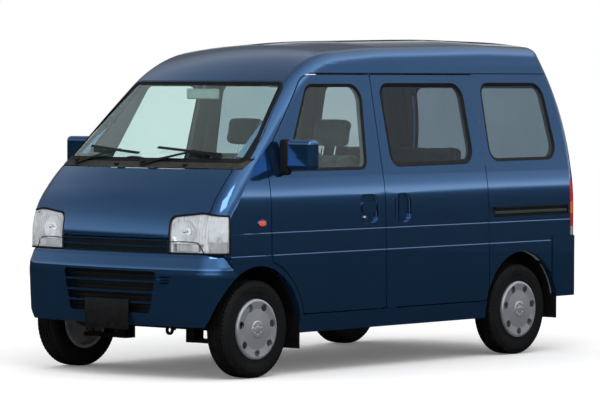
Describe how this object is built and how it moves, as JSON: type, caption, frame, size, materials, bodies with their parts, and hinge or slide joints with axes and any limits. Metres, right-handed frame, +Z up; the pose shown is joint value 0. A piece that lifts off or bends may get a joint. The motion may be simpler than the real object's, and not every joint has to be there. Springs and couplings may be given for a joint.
{
  "type": "kei van",
  "caption": "Small one-box van with hinged front doors, sliding rear doors, a top-hinged tailgate, a short front lid, seats and steered front wheels.",
  "frame": {"origin": "on the ground under the middle of the vehicle's length and width", "axes": "+X forward, +Y to the vehicle's left, +Z up"},
  "size_m": [3.3938, 1.86, 1.8687],
  "materials": {
    "paint": "gloss",
    "underside": "matte",
    "black_trim": "matte",
    "clear_glass": "gloss",
    "dark_glass": "gloss",
    "lamp_bowl": "gloss",
    "lamp_lens": "gloss",
    "red_lens": "gloss",
    "grey_plastic": "matte",
    "seat_fabric": "matte",
    "cast_iron": "matte",
    "tyre": "matte",
    "cover": "satin"
  },
  "bodies": {
    "body": {"floor_pan": "underside", "chassis_frame": "underside", "side_frame_left": "paint", "side_frame_right": "paint", "roof": "paint", "nose_panel": "paint", "front_fenders": "paint", "cowl": "black_trim", "windscreen": "clear_glass", "front_bumper": "paint", "front_grille": "black_trim", "headlamps": "lamp_bowl", "headlamp_lenses": "lamp_lens", "rear_bumper": "paint", "tail_lamps": "red_lens", "sliding_door_left": "paint", "sliding_door_right": "paint", "sliding_door_glass": "dark_glass", "quarter_glass": "dark_glass", "dashboard": "grey_plastic", "steering_wheel": "grey_plastic", "front_seats": "seat_fabric", "rear_seat": "seat_fabric", "engine": "cast_iron", "fuel_tank": "underside", "exhaust": "underside", "front_suspension": "underside", "struts": "underside", "rear_axle": "cast_iron", "prop_shaft": "underside", "mud_flaps": "black_trim", "wipers": "black_trim"},
    "front_door_left": {"front_door_left": "paint", "front_door_glass_left": "dark_glass", "mirror_left": "paint"},
    "front_door_right": {"front_door_right": "paint", "front_door_glass_right": "dark_glass", "mirror_right": "paint"},
    "tailgate": {"tailgate": "paint", "tailgate_glass": "dark_glass"},
    "front_lid": {"lid": "paint"},
    "knuckle_left": {"knuckle_left": "cast_iron"},
    "knuckle_right": {"knuckle_right": "cast_iron"},
    "wheel_front_left": {"tyre_front_left": "tyre", "wheel_front_left": "cover"},
    "wheel_front_right": {"tyre_front_right": "tyre", "wheel_front_right": "cover"},
    "wheel_rear_left": {"tyre_rear_left": "tyre", "wheel_rear_left": "cover"},
    "wheel_rear_right": {"tyre_rear_right": "tyre", "wheel_rear_right": "cover"}
  },
  "joints": [
    {"name": "front_door_left_hinge", "type": "hinge", "parent": "body", "child": "front_door_left", "pos_m": [1.155, 0.7355, 0.9], "axis": [0, 0, -1], "range_deg": [0, 70]},
    {"name": "front_door_right_hinge", "type": "hinge", "parent": "body", "child": "front_door_right", "pos_m": [1.155, -0.7355, 0.9], "axis": [0, 0, 1], "range_deg": [0, 70]},
    {"name": "tailgate_hinge", "type": "hinge", "parent": "body", "child": "tailgate", "pos_m": [-1.496, 0, 1.789], "axis": [0, 1, 0], "range_deg": [0, 85]},
    {"name": "front_lid_hinge", "type": "hinge", "parent": "body", "child": "front_lid", "pos_m": [1.46, 0, 1.141], "axis": [0, -1, 0], "range_deg": [0, 60]},
    {"name": "steer_left", "type": "hinge", "parent": "body", "child": "knuckle_left", "pos_m": [1.2675, 0.545, 0.268], "axis": [0, 0, 1], "range_deg": [-33, 33]},
    {"name": "steer_right", "type": "hinge", "parent": "body", "child": "knuckle_right", "pos_m": [1.2675, -0.545, 0.268], "axis": [0, 0, 1], "range_deg": [-33, 33]},
    {"name": "spin_front_left", "type": "hinge", "parent": "knuckle_left", "child": "wheel_front_left", "pos_m": [1.2675, 0.645, 0.268], "axis": [0, 1, 0], "continuous": true},
    {"name": "spin_front_right", "type": "hinge", "parent": "knuckle_right", "child": "wheel_front_right", "pos_m": [1.2675, -0.645, 0.268], "axis": [0, 1, 0], "continuous": true},
    {"name": "spin_rear_left", "type": "hinge", "parent": "body", "child": "wheel_rear_left", "pos_m": [-1.0825, 0.645, 0.268], "axis": [0, 1, 0], "continuous": true},
    {"name": "spin_rear_right", "type": "hinge", "parent": "body", "child": "wheel_rear_right", "pos_m": [-1.0825, -0.645, 0.268], "axis": [0, 1, 0], "continuous": true}
  ],
  "couplings": [
    {"joint": "steer_right", "follows": "steer_left", "ratio": 1}
  ]
}
